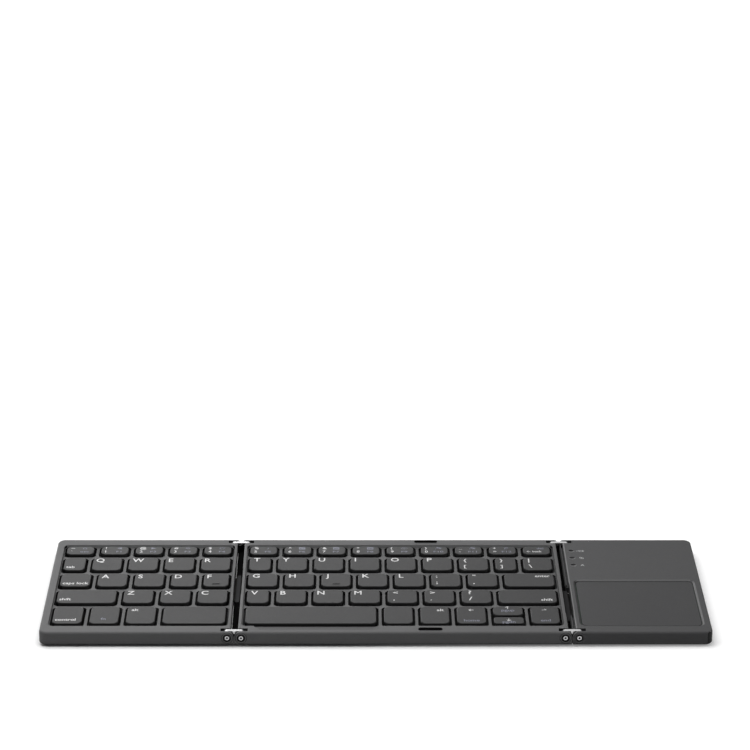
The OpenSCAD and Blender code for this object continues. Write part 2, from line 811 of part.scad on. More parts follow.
module charging_port() color(metal_colour)
    translate([port_x, 0, board_bottom + board_thickness + port_size[2] / 2]) {
        difference() {
            along_y(port_back - port_size[1], port_back) port_outline(port_size[0], port_size[2]);
            along_y(port_back - port_size[1] + 0.4, port_back + 1)
                port_outline(port_mouth[0], port_mouth[1]);
        }
        box([-port_tongue[0] / 2, port_tongue[0] / 2], [port_back - port_size[1] + 0.2, port_back - 1],
            [-0.1, port_tongue[1] - 0.1]);
    }

module touchpad() color(key_colour)
    rounded_slab([touchpad_span_x[0] + touchpad_gap, touchpad_span_x[1] - touchpad_gap],
                 [touchpad_span_y[0] + touchpad_gap, touchpad_span_y[1] - touchpad_gap],
                 touchpad_corner, [cover_underside, case_top - touchpad_drop]);

// The touch sensor's board, glued under the cover round the opening, with its controller chip
module touchpad_board() color(board_colour) {
    box([right_room[0] + 0.3, right_room[1] - 0.3], [-cavity_half_depth + 0.2, touchpad_span_y[1] + 1],
        [touchpad_board_bottom, cover_underside]);
    box(controller_x, controller_y,
        [touchpad_board_bottom - controller_height, touchpad_board_bottom + 0.1]);
}

// The main board, on the base plate's ribs behind the touchpad
module main_board() color(board_colour) {
    box([right_room[0] + 1.2, board_right], board_y, [board_bottom, board_bottom + board_thickness]);
    box([port_x - port_size[0] / 2 - 0.5, port_x + port_size[0] / 2 + 0.5],
        [board_y[1] - 0.2, half_depth - wall - 0.2],
        [board_bottom, board_bottom + board_thickness]);
    for (chip = chips)
        translate([chip[0], chip[1], board_bottom + board_thickness - 0.1])
            cube([chip[2], chip[3], chip_height]);
}

// The battery pouch, in front of the board
module battery() color("silver")
    rounded_block(battery_x, battery_y, battery_corner, [
        [0.4, battery_bottom],
        [0, battery_bottom + 0.4],
        [0, battery_bottom + battery_thickness - 0.4],
        [0.4, battery_bottom + battery_thickness]
    ]);

// Light pipes from the board up to three dished lenses
module indicator_lights() color("dimgray")
    for (y = lights_y)
        translate([lights_x, y, 0])
            difference() {
                union() {
                    translate([0, 0, cover_underside]) cylinder(r = light_radius, h = cover_skin);
                    translate([0, 0, board_bottom + board_thickness])
                        cylinder(r = light_pipe_radius, h = cover_underside - board_bottom);
                }
                translate([0, 0, case_top + dish_radius() - light_dish]) sphere(dish_radius());
            }

function dish_radius() = (light_radius * light_radius + light_dish * light_dish) / (2 * light_dish);

module right_magnets() color(metal_colour) front_and_back() magnet(half_length - magnet_inset, 0);
module right_screws() color(metal_colour) screws(right_screws_x);
module right_feet() color(rubber_colour) feet(right_feet_x, 0);

// ---- Hinges ----

// The front and back link plates of one hinge, each with a raised eye for a pin at either end and a
// skirt that closes the gap between the panels' ears
module links(hinge_x) {
    front_and_back()
        difference() {
            union() {
                along_y(link_in, link_out) {
                    translate([hinge_x - pin_offset, pin_height - link_radius])
                        square([2 * pin_offset, 2 * link_radius]);
                    for (side = [-1, 1])
                        translate([hinge_x + side * pin_offset, pin_height]) circle(link_radius);
                    translate([hinge_x - link_skirt, spine_bottom]) square([2 * link_skirt, link_radius]);
                }
                for (side = [-1, 1])
                    along_y(slot_in + eye_play, slot_out - eye_play)
                        translate([hinge_x + side * pin_offset, pin_height]) circle(eye_radius);
            }
            for (side = [-1, 1])
                along_y(link_in - 1, link_out + 1)
                    translate([hinge_x + side * pin_offset, pin_height])
                        circle(pin_radius);
        }
}

// The rail that joins the two links under the noses, with the strip over the cable
module spine(hinge_x) {
    y = cable_y(hinge_x);
    along_y(-link_in, link_in)
        translate([hinge_x, 0])
            polygon([
                [-spine_half_width, spine_bottom],
                [spine_half_width, spine_bottom],
                [spine_half_width, spine_shoulder],
                [spine_crest, spine_top],
                [-spine_crest, spine_top],
                [-spine_half_width, spine_shoulder]
            ]);
    box([hinge_x - strip_width / 2, hinge_x + strip_width / 2], y, [strip_bottom, strip_top]);
    for (end = [[y[0], y[0] + 1], [y[1] - 1, y[1]]])
        box([hinge_x - strip_width / 2, hinge_x + strip_width / 2], end,
            [spine_top - 0.1, strip_bottom + 0.1]);
}

// Four headed pins, pressed into the links and running in the panels
module hinge_pins(hinge_x) {
    for (side = [-1, 1])
        front_and_back()
            difference() {
                union() {
                    along_y(pin_in, pin_head_out)
                        translate([hinge_x + side * pin_offset, pin_height])
                            circle(pin_radius);
                    along_y(pin_head_in, pin_head_out)
                        translate([hinge_x + side * pin_offset, pin_height])
                            circle(pin_head_radius);
                }
                along_y(pin_head_out - pin_recess, pin_head_out + 1)
                    translate([hinge_x + side * pin_offset, pin_height])
                        circle(pin_recess_radius);
            }
}

// The flat cable between two panels, where it crosses the spine
module flex_cable(hinge_x) {
    reach = pin_offset + cable_tail - 0.5;
    y = cable_y(hinge_x);
    box([hinge_x - reach, hinge_x + reach], [y[0] + cable_inset, y[1] - cable_inset],
        [cable_bottom, cable_bottom + cable_thickness]);
}

module left_links() color(metal_colour) links(left_hinge_x);
module left_spine() color(base_colour) spine(left_hinge_x);
module left_hinge_pins() color(metal_colour) hinge_pins(left_hinge_x);
module left_flex_cable() color(copper_colour) flex_cable(left_hinge_x);
module right_links() color(metal_colour) links(right_hinge_x);
module right_spine() color(base_colour) spine(right_hinge_x);
module right_hinge_pins() color(metal_colour) hinge_pins(right_hinge_x);
module right_flex_cable() color(copper_colour) flex_cable(right_hinge_x);

middle_base();
middle_frame();
middle_key_web();
middle_key_plate();
middle_dome_sheet();
middle_magnets();
middle_screws();
middle_feet();
bumpers();
left_base();
left_frame();
left_key_web();
left_key_plate();
left_dome_sheet();
left_magnets();
left_screws();
left_feet();
right_base();
right_cover();
touchpad();
touchpad_board();
main_board();
indicator_lights();
charging_port();
battery();
right_magnets();
right_screws();
right_feet();
left_links();
left_spine();
left_hinge_pins();
left_flex_cable();
right_links();
right_spine();
right_hinge_pins();
right_flex_cable();
number_keys_left();
tab_key();
letter_keys_q_to_r();
caps_key();
letter_keys_a_to_f();
left_shift_key();
letter_keys_z_to_c();
control_key();
fn_key();
left_alt_key();
left_space_key();
number_keys_right();
letter_keys_t_to_p();
letter_keys_g_to_l();
enter_key();
letter_keys_v_to_m();
right_shift_key();
space_key();
right_control_key();
right_alt_key();
arrow_left_key();
arrow_up_key();
arrow_down_key();
arrow_right_key();
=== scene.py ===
"""Looks of a folding pocket keyboard with a touchpad: caps, printing, finishes, studio and camera.

Everything is in metres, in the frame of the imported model: X along the keyboard, Y away from the
typist, Z up, with the origin under the middle of the unfolded keyboard.
"""

import json
import math

import bmesh
import bpy
from mathutils import Euler, Matrix, Vector


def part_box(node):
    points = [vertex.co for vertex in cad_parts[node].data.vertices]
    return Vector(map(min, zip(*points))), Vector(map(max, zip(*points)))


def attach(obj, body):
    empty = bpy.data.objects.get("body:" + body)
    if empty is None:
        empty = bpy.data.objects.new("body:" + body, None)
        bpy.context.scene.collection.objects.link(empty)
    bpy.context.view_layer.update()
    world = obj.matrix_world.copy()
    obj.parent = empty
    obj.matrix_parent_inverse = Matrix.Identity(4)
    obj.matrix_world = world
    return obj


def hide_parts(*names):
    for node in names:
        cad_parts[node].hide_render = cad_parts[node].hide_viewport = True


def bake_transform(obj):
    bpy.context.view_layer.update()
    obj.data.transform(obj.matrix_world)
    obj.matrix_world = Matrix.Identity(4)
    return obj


MM = 0.001

# ---- Keycaps ----
CAP_DRAFT = 0.45 * MM
CAP_CORNER = 2.6 * MM
CAP_CORNER_STEPS = 6
CAP_EDGE = 0.35 * MM
CAP_EDGE_STEPS = 4
CAP_LAND = 0.08 * MM
CAP_WALL = 0.8 * MM
CAP_CROWN = 0.8 * MM
CAP_TOP = 7.2 * MM
# Caps less deep than this are the two half-height arrow keys, which have sharper corners
LOW_CAP = 9 * MM
LOW_CAP_CORNER = 1.5 * MM
BAR_SIZE = (3.5 * MM, 0.55 * MM)
BAR_RISE = 0.2 * MM
BAR_SINK = 0.1 * MM
BAR_EDGE = 0.12 * MM
BAR_TO_MIDDLE = 4 * MM

# ---- Printing on the keys and the cover ----
PRINT_RISE = 0.012 * MM
PRINT_HEAVY = 0.012
LETTER_SIZE = 5.3 * MM
LETTER_WIDEN = 0.95
CAPITAL_HEIGHT = 0.682 * LETTER_SIZE
WORD_SIZE = 3.2 * MM
SIGN_WIDEN = 1.15
SIGN_BASELINES = (4.8, 11.2)
DIGIT_SIZE = 3.1 * MM
SECOND_SIZE = 2.4 * MM
COVER_TOP = 7.3 * MM
MARK_GAP = 3.2 * MM
MARK_LINE = 0.25 * MM

# ---- Case ----
WELL_BACK = 42.75 * MM
# Painted light and shade on the bevel round the touchpad, by the side that it faces, as (side, steepest lean,
# tint):
# painted shade where it faces right and away from the typist, a painted highlight where it faces left and towards
# the typist. The first also lays painted shade on the rounded edge of the right end.
COVER_PAINTED_LIGHT = (
    ((1, 0, 0), 0.97, (0.008, 0.008, 0.008)),
    ((-1, 0, 0), 0.42, (0.1, 0.1, 0.101)),
    ((0, -1, 0), 0.42, (0.09, 0.09, 0.091)),
    ((0, 1, 0), 0.42, (0.02, 0.02, 0.02)),
)
# Painted shade for crevices, cap walls and lens faces, and how far in mm the crevice shade reaches
CREVICE_PAINTED_SHADE_COLOUR = (0.0015, 0.0015, 0.0016)
CREVICE_SHADE_REACH = 2.5

# ---- Hinges ----
HINGES = {"left": -64.15 * MM, "right": 88.7 * MM}
PIN_REACH = 3.15 * MM
PIN_HEIGHT = 4.35 * MM
STRIP_LEVEL = 2.3
STEEL = (0.5, 0.5, 0.505)
# Painted shade on the ends and lower flanks of the links, and on the pin heads off their bright ring
PAINTED_SHADE_STEEL = (0.02, 0.02, 0.02)
CABLE_STEPS = 14

# ---- Camera, fitted to the corners of the top plane ----
CAMERA_PLACE = (-0.01047, -1.20223, 0.59968)
CAMERA_PITCH = 22.05
CAMERA_YAW = 0.474
CAMERA_ROLL = 0.205
SENSOR = 36.0
CAMERA_LENS = 137.505

# ---- Studio ----
LIGHT_PLACE = (-0.13, -0.02, 0.40)
LIGHT_SIZE = (0.5, 0.4)
LIGHT_POWER = 2.6
LIGHT_FALL = 0.5
SHEEN_PLACE = (-0.5, 0.8, 0.28)
SHEEN_SIZE = (1.2, 0.6)
SHEEN_POWER = 5.0
SHEEN_TURN = (-90, 33.9, 0)
FILL_PLACE = (0.42, -0.02, 0.14)
FILL_SIZE = (0.2, 0.3)
FILL_POWER = 0.22
FILL_TURN = (0, 60, 0)
WORLD_FILL = 0.25
FLOOR_SIZE = 8
FLOOR_BOUNCE = 0.6
FLOOR_TONE = 0.8
FLOOR_LIT = 1.35


# ---------------------------------------------------------------- modelling helpers

def clear_selection():
    """Leaves nothing selected, in object mode."""
    if bpy.context.object and bpy.context.object.mode != "OBJECT":
        bpy.ops.object.mode_set(mode="OBJECT")
    bpy.ops.object.select_all(action="DESELECT")


def take(obj):
    """Makes obj the only selected and the active object."""
    clear_selection()
    obj.select_set(True)
    bpy.context.view_layer.objects.active = obj


def block(name, low, high):
    """A box between two corners, as a mesh at the origin, ready to be shaped."""
    clear_selection()
    low, high = Vector(low), Vector(high)
    bpy.ops.mesh.primitive_cube_add(size=1, location=(low + high) / 2, scale=high - low)
    obj = bpy.context.object
    obj.name = name
    bpy.ops.object.transform_apply(location=True, rotation=False, scale=True)
    return obj


def pick(obj, kind, test):
    """In edit mode, selects the faces or edges for which test is true, and nothing else."""
    if obj.mode != "EDIT":
        take(obj)
        bpy.ops.object.mode_set(mode="EDIT")
    bpy.ops.mesh.select_mode(type="FACE" if kind == "faces" else "EDGE")
    bpy.ops.mesh.select_all(action="DESELECT")
    mesh = bmesh.from_edit_mesh(obj.data)
    for item in getattr(mesh, kind):
        if test(item):
            item.select_set(True)
    mesh.select_flush_mode()
    bmesh.update_edit_mesh(obj.data)


def is_upright(edge):
    a, b = (v.co for v in edge.verts)
    return abs(a.z - b.z) > 0.3 * (a - b).length


def join(name, parts):
    """Joins the meshes in parts into one called name."""
    clear_selection()
    for part in parts:
        part.select_set(True)
    bpy.context.view_layer.objects.active = parts[0]
    if len(parts) > 1:
        bpy.ops.object.join()
    joined = bpy.context.view_layer.objects.active
    joined.name = name
    return joined


def dress(obj, material):
    obj.data.materials.clear()
    obj.data.materials.append(material)


def solids_of(node):
    """The corners of each separate solid in a CAD node, from left to right."""
    mesh = bmesh.new()
    mesh.from_mesh(frame["nodes"][node].data)
    bmesh.ops.remove_doubles(mesh, verts=mesh.verts, dist=1e-6)
    left, boxes = set(mesh.verts), []
    while left:
        wave = [left.pop()]
        low, high = wave[0].co.copy(), wave[0].co.copy()
        while wave:
            vert = wave.pop()
            low = Vector(map(min, low, vert.co))
            high = Vector(map(max, high, vert.co))
            for edge in vert.link_edges:
                other = edge.other_vert(vert)
                if other in left:
                    left.remove(other)
                    wave.append(other)
        boxes.append((low, high))
    mesh.free()
    return sorted(boxes, key=lambda b: b[0].x)


# ---------------------------------------------------------------- node groups

FLOAT = "NodeSocketFloat"
MASK = [("Mask", FLOAT)]


def new_group(name, inputs, outputs):
    """A shader node group with named inputs (name, socket type, default) and outputs (name, type)."""
    group = bpy.data.node_groups.new(name, "ShaderNodeTree")
    for label, kind, default in inputs:
        socket = group.interface.new_socket(label, in_out="INPUT", socket_type=kind)
        socket.default_value = default
    for label, kind in outputs:
        group.interface.new_socket(label, in_out="OUTPUT", socket_type=kind)
    return group, group.nodes.new("NodeGroupInput"), group.nodes.new("NodeGroupOutput")


def add(tree, kind, values=None, **settings):
    """Adds a node, with settings as its attributes and values as its sockets' own values."""
    node = tree.nodes.new(kind)
    for key, value in settings.items():
        setattr(node, key, value)
    for key, value in (values or {}).items():
        node.inputs[key].default_value = value
    return node


def moulded_skin_group():
    """Fine moulded grain with slow changes of tone and gloss, as on spark-eroded plastic."""
    group, start, end = new_group(
        "moulded_skin",
        [
            ("Colour", "NodeSocketColor", (0.1, 0.1, 0.1, 1)),
            ("Grain size", FLOAT, 0.25),
            ("Grain depth", FLOAT, 0.01),
            ("Tone change", FLOAT, 0.1),
            ("Gloss", FLOAT, 0.5),
            ("Gloss change", FLOAT, 0.1),
        ],
        [("Colour", "NodeSocketColor"), ("Roughness", FLOAT), ("Normal", "NodeSocketVector")],
    )
    link = group.links.new
    place = add(group, "ShaderNodeTexCoord")
    scale = add(group, "ShaderNodeMath", {0: 1 / MM}, operation="DIVIDE")
    grain = add(group, "ShaderNodeTexNoise", {"Detail": 2.0, "Roughness": 0.6})
    bump = add(group, "ShaderNodeBump", {"Strength": 1.0})
    depth = add(group, "ShaderNodeMath", {1: MM}, operation="MULTIPLY")
    slow = add(group, "ShaderNodeTexNoise", {"Scale": 55.0, "Detail": 3.0, "Roughness": 0.55})
    fleck = add(group, "ShaderNodeTexNoise", {"Scale": 900.0, "Detail": 1.0})
    both = add(group, "ShaderNodeMath", operation="ADD")
    centred = add(group, "ShaderNodeMath", {1: 1.0}, operation="SUBTRACT")
    tone = add(group, "ShaderNodeMath", operation="MULTIPLY")
    gain = add(group, "ShaderNodeMath", {1: 1.0}, operation="ADD")
    tinted = add(group, "ShaderNodeVectorMath", operation="SCALE")
    gloss = add(group, "ShaderNodeMath", operation="MULTIPLY")
    rough = add(group, "ShaderNodeMath", operation="ADD", use_clamp=True)
    link(start.outputs["Grain size"], scale.inputs[1])
    for texture in (grain, slow, fleck):
        link(place.outputs["Object"], texture.inputs["Vector"])
    link(scale.outputs[0], grain.inputs["Scale"])
    link(grain.outputs["Fac"], bump.inputs["Height"])
    link(start.outputs["Grain depth"], depth.inputs[0])
    link(depth.outputs[0], bump.inputs["Distance"])
    link(slow.outputs["Fac"], both.inputs[0])
    link(fleck.outputs["Fac"], both.inputs[1])
    link(both.outputs[0], centred.inputs[0])
    link(centred.outputs[0], tone.inputs[0])
    link(start.outputs["Tone change"], tone.inputs[1])
    link(tone.outputs[0], gain.inputs[0])
    link(start.outputs["Colour"], tinted.inputs[0])
    link(gain.outputs[0], tinted.inputs["Scale"])
    link(centred.outputs[0], gloss.inputs[0])
    link(start.outputs["Gloss change"], gloss.inputs[1])
    link(gloss.outputs[0], rough.inputs[0])
    link(start.outputs["Gloss"], rough.inputs[1])
    link(tinted.outputs[0], end.inputs["Colour"])
    link(rough.outputs[0], end.inputs["Roughness"])
    link(bump.outputs["Normal"], end.inputs["Normal"])
    return group


def edge_wear_highlight_group():
    """A mask that is 1 on edges and 0 on faces, broken up so that it isn't even: edge wear that is also a painted
    highlight along the edges.
    """
    group, start, end = new_group("edge_wear", [("Width", FLOAT, 0.3), ("Amount", FLOAT, 1.0)], MASK)
    link = group.links.new
    place = add(group, "ShaderNodeTexCoord")
    width = add(group, "ShaderNodeMath", {1: MM}, operation="MULTIPLY")
    rounded = add(group, "ShaderNodeBevel", samples=4)
    flat = add(group, "ShaderNodeNewGeometry")
    along = add(group, "ShaderNodeVectorMath", operation="DOT_PRODUCT")
    turn = add(group, "ShaderNodeMapRange", {"From Min": 0.995, "From Max": 0.8})
    patches = add(group, "ShaderNodeTexNoise", {"Scale": 160.0, "Detail": 3.0})
    broken = add(group, "ShaderNodeMapRange", {"From Min": 0.3, "From Max": 0.7, "To Min": 0.5})
    worn_and_lit = add(group, "ShaderNodeMath", operation="MULTIPLY")
    amount = add(group, "ShaderNodeMath", operation="MULTIPLY", use_clamp=True)
    link(start.outputs["Width"], width.inputs[0])
    link(width.outputs[0], rounded.inputs["Radius"])
    link(rounded.outputs["Normal"], along.inputs[0])
    link(flat.outputs["Normal"], along.inputs[1])
    link(along.outputs["Value"], turn.inputs["Value"])
    link(place.outputs["Object"], patches.inputs["Vector"])
    link(patches.outputs["Fac"], broken.inputs["Value"])
    link(turn.outputs["Result"], worn_and_lit.inputs[0])
    link(broken.outputs["Result"], worn_and_lit.inputs[1])
    link(worn_and_lit.outputs[0], amount.inputs[0])
    link(start.outputs["Amount"], amount.inputs[1])
    link(amount.outputs[0], end.inputs["Mask"])
    return group


def crevice_painted_shade_group():
    """A mask for painted shade: 1 in a gap between two faces, where ambient occlusion finds little open sky, and 0
    in the open, stronger on the gap's walls.
    """
    inputs = [("Reach", FLOAT, CREVICE_SHADE_REACH), ("Amount", FLOAT, 1.0), ("On level faces", FLOAT, 0.5)]
    group, start, end = new_group("crevice", inputs, MASK)
    link = group.links.new
    place = add(group, "ShaderNodeTexCoord")
    reach = add(group, "ShaderNodeMath", {1: MM}, operation="MULTIPLY")
    sky = add(group, "ShaderNodeAmbientOcclusion", samples=6)
    dark = add(group, "ShaderNodeMapRange", {"From Min": 0.95, "From Max": 0.6})
    parts = add(group, "ShaderNodeSeparateXYZ")
    level = add(group, "ShaderNodeMath", operation="ABSOLUTE")
    steep = add(group, "ShaderNodeMapRange", {"From Min": 0.9, "From Max": 0.5})
    both = add(group, "ShaderNodeMath", operation="MULTIPLY")
    amount = add(group, "ShaderNodeMath", operation="MULTIPLY", use_clamp=True)
    link(start.outputs["Reach"], reach.inputs[0])
    link(reach.outputs[0], sky.inputs["Distance"])
    link(sky.outputs["AO"], dark.inputs["Value"])
    link(place.outputs["Normal"], parts.inputs[0])
    link(parts.outputs["Z"], level.inputs[0])
    link(level.outputs[0], steep.inputs["Value"])
    link(start.outputs["On level faces"], steep.inputs["To Min"])
    link(dark.outputs["Result"], both.inputs[0])
    link(steep.outputs["Result"], both.inputs[1])
    link(both.outputs[0], amount.inputs[0])
    link(start.outputs["Amount"], amount.inputs[1])
    link(amount.outputs[0], end.inputs["Mask"])
    return group


def pin_ring_shade_group():
    """A mask for painted shade on a pin head: 0 on a bright ring round the nearest of a hinge's two pin axes and 1
    off it.
    """
    inputs = [("Hinge", FLOAT, 0.0), ("Inner", FLOAT, 0.4), ("Outer", FLOAT, 0.9)]
    group, start, end = new_group("pin_ring", inputs, MASK)
    link = group.links.new
    place = add(group, "ShaderNodeTexCoord")
    parts = add(group, "ShaderNodeSeparateXYZ")
    across = add(group, "ShaderNodeMath", operation="SUBTRACT")
    either = add(group, "ShaderNodeMath", operation="ABSOLUTE")
    from_pin = add(group, "ShaderNodeMath", {1: PIN_REACH}, operation="SUBTRACT")
    above = add(group, "ShaderNodeMath", {1: PIN_HEIGHT}, operation="SUBTRACT")
    both = add(group, "ShaderNodeCombineXYZ")
    radius = add(group, "ShaderNodeVectorMath", operation="LENGTH")
    in_mm = add(group, "ShaderNodeMath", {1: MM}, operation="DIVIDE")
    middle = add(group, "ShaderNodeMath", operation="SUBTRACT")
    rim = add(group, "ShaderNodeMath", operation="SUBTRACT")
    further = add(group, "ShaderNodeMath", operation="MAXIMUM")
    soft = add(group, "ShaderNodeMapRange", {"From Min": -0.06, "From Max": 0.06})
    link(place.outputs["Object"], parts.inputs[0])
    link(parts.outputs["X"], across.inputs[0])
    link(start.outputs["Hinge"], across.inputs[1])
    link(across.outputs[0], either.inputs[0])
    link(either.outputs[0], from_pin.inputs[0])
    link(parts.outputs["Z"], above.inputs[0])
    link(from_pin.outputs[0], both.inputs["X"])
    link(above.outputs[0], both.inputs["Z"])
    link(both.outputs[0], radius.inputs[0])
    link(radius.outputs["Value"], in_mm.inputs[0])
    link(start.outputs["Inner"], middle.inputs[0])
    link(in_mm.outputs[0], middle.inputs[1])
    link(in_mm.outputs[0], rim.inputs[0])
    link(start.outputs["Outer"], rim.inputs[1])
    link(middle.outputs[0], further.inputs[0])
    link(rim.outputs[0], further.inputs[1])
    link(further.outputs[0], soft.inputs["Value"])
    link(soft.outputs["Result"], end.inputs["Mask"])
    return group


def end_face_shade_group():
    """A mask for painted shade on a link: its ends, and its flanks below a level."""
    group, start, end = new_group("end_face", [("Level", FLOAT, 6.3)], MASK)
    link = group.links.new
    place = add(group, "ShaderNodeTexCoord")
    facing = add(group, "ShaderNodeSeparateXYZ")
    parts = add(group, "ShaderNodeSeparateXYZ")
    square = add(group, "ShaderNodeMath", operation="ABSOLUTE")
    flat = add(group, "ShaderNodeMapRange", {"From Min": 0.5, "From Max": 0.9})
    level = add(group, "ShaderNodeMath", {1: MM}, operation="MULTIPLY")
    below = add(group, "ShaderNodeMath", operation="SUBTRACT")
    low = add(group, "ShaderNodeMapRange", {"From Min": -0.05 * MM, "From Max": 0.05 * MM})
    both = add(group, "ShaderNodeMath", operation="MULTIPLY")
    sideways = add(group, "ShaderNodeMath", operation="ABSOLUTE")
    rounded = add(group, "ShaderNodeMapRange", {"From Min": 0.12, "From Max": 0.4})
    either = add(group, "ShaderNodeMath", operation="MAXIMUM")
    link(place.outputs["Normal"], facing.inputs[0])
    link(place.outputs["Object"], parts.inputs[0])
    link(facing.outputs["Y"], square.inputs[0])
    link(square.outputs[0], flat.inputs["Value"])
    link(start.outputs["Level"], level.inputs[0])
    link(level.outputs[0], below.inputs[0])
    link(parts.outputs["Z"], below.inputs[1])
    link(below.outputs[0], low.inputs["Value"])
    link(flat.outputs["Result"], both.inputs[0])
    link(low.outputs["Result"], both.inputs[1])
    link(facing.outputs["X"], sideways.inputs[0])
    link(sideways.outputs[0], rounded.inputs["Value"])
    link(both.outputs[0], either.inputs[0])
    link(rounded.outputs["Result"], either.inputs[1])
    link(either.outputs[0], end.inputs["Mask"])
    return group


def above_group():
    """A mask that is 1 above a level."""
    group, start, end = new_group("above", [("Level", FLOAT, 0.0)], MASK)
    link = group.links.new
    place = add(group, "ShaderNodeTexCoord")
    parts = add(group, "ShaderNodeSeparateXYZ")
    level = add(group, "ShaderNodeMath", {1: MM}, operation="MULTIPLY")
    higher = add(group, "ShaderNodeMath", operation="GREATER_THAN")
    link(place.outputs["Object"], parts.inputs[0])
    link(start.outputs["Level"], level.inputs[0])
    link(parts.outputs["Z"], higher.inputs[0])
    link(level.outputs[0], higher.inputs[1])
    link(higher.outputs[0], end.inputs["Mask"])
    return group


def steep_face_shade_group():
    """A mask for painted shade that is 0 on level faces and 1 on walls, so that caps are painted dark round their
    sides where they stand in shade.
    """
    group, start, end = new_group("steep_face", [("Amount", FLOAT, 1.0)], MASK)
    link = group.links.new
    place = add(group, "ShaderNodeTexCoord")
    parts = add(group, "ShaderNodeSeparateXYZ")
    level = add(group, "ShaderNodeMath", operation="ABSOLUTE")
    steep = add(group, "ShaderNodeMapRange", {"From Min": 0.96, "From Max": 0.75})
    amount = add(group, "ShaderNodeMath", operation="MULTIPLY")
    link(place.outputs["Normal"], parts.inputs[0])
    link(parts.outputs["Z"], level.inputs[0])
    link(level.outputs[0], steep.inputs["Value"])
    link(steep.outputs["Result"], amount.inputs[0])
    link(start.outputs["Amount"], amount.inputs[1])
    link(amount.outputs[0], end.inputs["Mask"])
    return group


def slope_light_and_shade_group():
    """A mask for faces that lean towards a side by an amount between two limits, as bevels do; it carries painted
    light and painted shade by the way a face is turned.
    """
    inputs = [("Side", "NodeSocketVector", (1, 0, 0)), ("Low", FLOAT, 0.3), ("High", FLOAT, 0.42)]
    group, start, end = new_group("slope", inputs, MASK)
    link = group.links.new
    place = add(group, "ShaderNodeTexCoord")
    lean = add(group, "ShaderNodeVectorMath", operation="DOT_PRODUCT")
    over_low = add(group, "ShaderNodeMath", operation="GREATER_THAN")
    under_high = add(group, "ShaderNodeMath", operation="LESS_THAN")
    both = add(group, "ShaderNodeMath", operation="MULTIPLY")
    link(place.outputs["Normal"], lean.inputs[0])
    link(start.outputs["Side"], lean.inputs[1])
    link(lean.outputs["Value"], over_low.inputs[0])
    link(start.outputs["Low"], over_low.inputs[1])
    link(lean.outputs["Value"], under_high.inputs[0])
    link(start.outputs["High"], under_high.inputs[1])
    link(over_low.outputs[0], both.inputs[0])
    link(under_high.outputs[0], both.inputs[1])
    link(both.outputs[0], end.inputs["Mask"])
    return group


def back_wall_highlight_group():
    """A mask for an upright wall that faces the typist at a place along Y, as behind the number keys, where a
    painted highlight is laid.
    """
    group, start, end = new_group("back_wall", [("Place", FLOAT, 0.0)], MASK)
    link = group.links.new
    place = add(group, "ShaderNodeTexCoord")
    where = add(group, "ShaderNodeSeparateXYZ")
    facing = add(group, "ShaderNodeSeparateXYZ")
    near = add(group, "ShaderNodeMath", {2: 0.4 * MM}, operation="COMPARE")
    forward = add(group, "ShaderNodeMath", {1: -0.5}, operation="LESS_THAN")
    both = add(group, "ShaderNodeMath", operation="MULTIPLY")
    link(place.outputs["Object"], where.inputs[0])
    link(place.outputs["Normal"], facing.inputs[0])
    link(where.outputs["Y"], near.inputs[0])
    link(start.outputs["Place"], near.inputs[1])
    link(facing.outputs["Y"], forward.inputs[0])
    link(near.outputs[0], both.inputs[0])
    link(forward.outputs[0], both.inputs[1])
    link(both.outputs[0], end.inputs["Mask"])
    return group


# ---------------------------------------------------------------- materials

def blank(name):
    """A new node material, with its tree and its Principled shader."""
    material = bpy.data.materials.new(name)
    material.use_nodes = True
    return material, material.node_tree, material.node_tree.nodes["Principled BSDF"]


def masked(tree, group, values, below, colour):
    """Lays a colour over the one below, through a mask group placed with its own values."""
    mask = add(tree, "ShaderNodeGroup", node_tree=group)
    for key, value in values.items():
        mask.inputs[key].default_value = value
    mix = add(tree, "ShaderNodeMix", data_type="RGBA")
    mix.inputs["B"].default_value = (*colour, 1)
    tree.links.new(mask.outputs["Mask"], mix.inputs["Factor"])
    tree.links.new(below, mix.inputs["A"])
    return mix.outputs["Result"]


def plastic(name, colour, grain=0.3, depth=0.012, tone=0.08, gloss=0.5, gloss_change=0.12,
            wear_and_highlight=0.0, worn_highlight_colour=None, wear_highlight_width=0.3, specular=0.2, shade=0.9):
    """A moulded plastic: grain and tone from the shared skin, paler edges from wear and a painted highlight, and
    painted shade in crevices.
    """
    material, tree, shader = blank(name)
    surface = add(tree, "ShaderNodeGroup", node_tree=moulded_skin)
    values = {
        "Colour": (*colour, 1),
        "Grain size": grain,
        "Grain depth": depth,
        "Tone change": tone,
        "Gloss": gloss,
        "Gloss change": gloss_change,
    }
    for key, value in values.items():
        surface.inputs[key].default_value = value
    tree.links.new(surface.outputs["Roughness"], shader.inputs["Roughness"])
    tree.links.new(surface.outputs["Normal"], shader.inputs["Normal"])
    shader.inputs["Specular IOR Level"].default_value = specular
    tint = surface.outputs["Colour"]
    if wear_and_highlight:
        tint = masked(tree, edge_wear, {"Width": wear_highlight_width, "Amount": wear_and_highlight}, tint, worn_highlight_colour)
    if shade:
        tint = masked(tree, crevice, {"Amount": shade}, tint, CREVICE_PAINTED_SHADE_COLOUR)
    tree.links.new(tint, shader.inputs["Base Color"])
    return material


def metal(name, colour, gloss, grain=0.15, depth=0.003, tone=0.06, shade=1.0):
    """A plated or brushed metal with the shared skin's fine grain and painted shade in crevices."""
    material = plastic(name, colour, grain=grain, depth=depth, tone=tone, gloss=gloss, gloss_change=0.1,
                       shade=shade)
    material.node_tree.nodes["Principled BSDF"].inputs["Metallic"].default_value = 1.0
    return material


def over(material, group, values, colour):
    """Lays one more colour over a finished material's base colour, through a mask group."""
    tree = material.node_tree
    base = tree.nodes["Principled BSDF"].inputs["Base Color"]
    below = base.links[0].from_socket
    tree.links.new(masked(tree, group, values, below, colour), base)
    return material


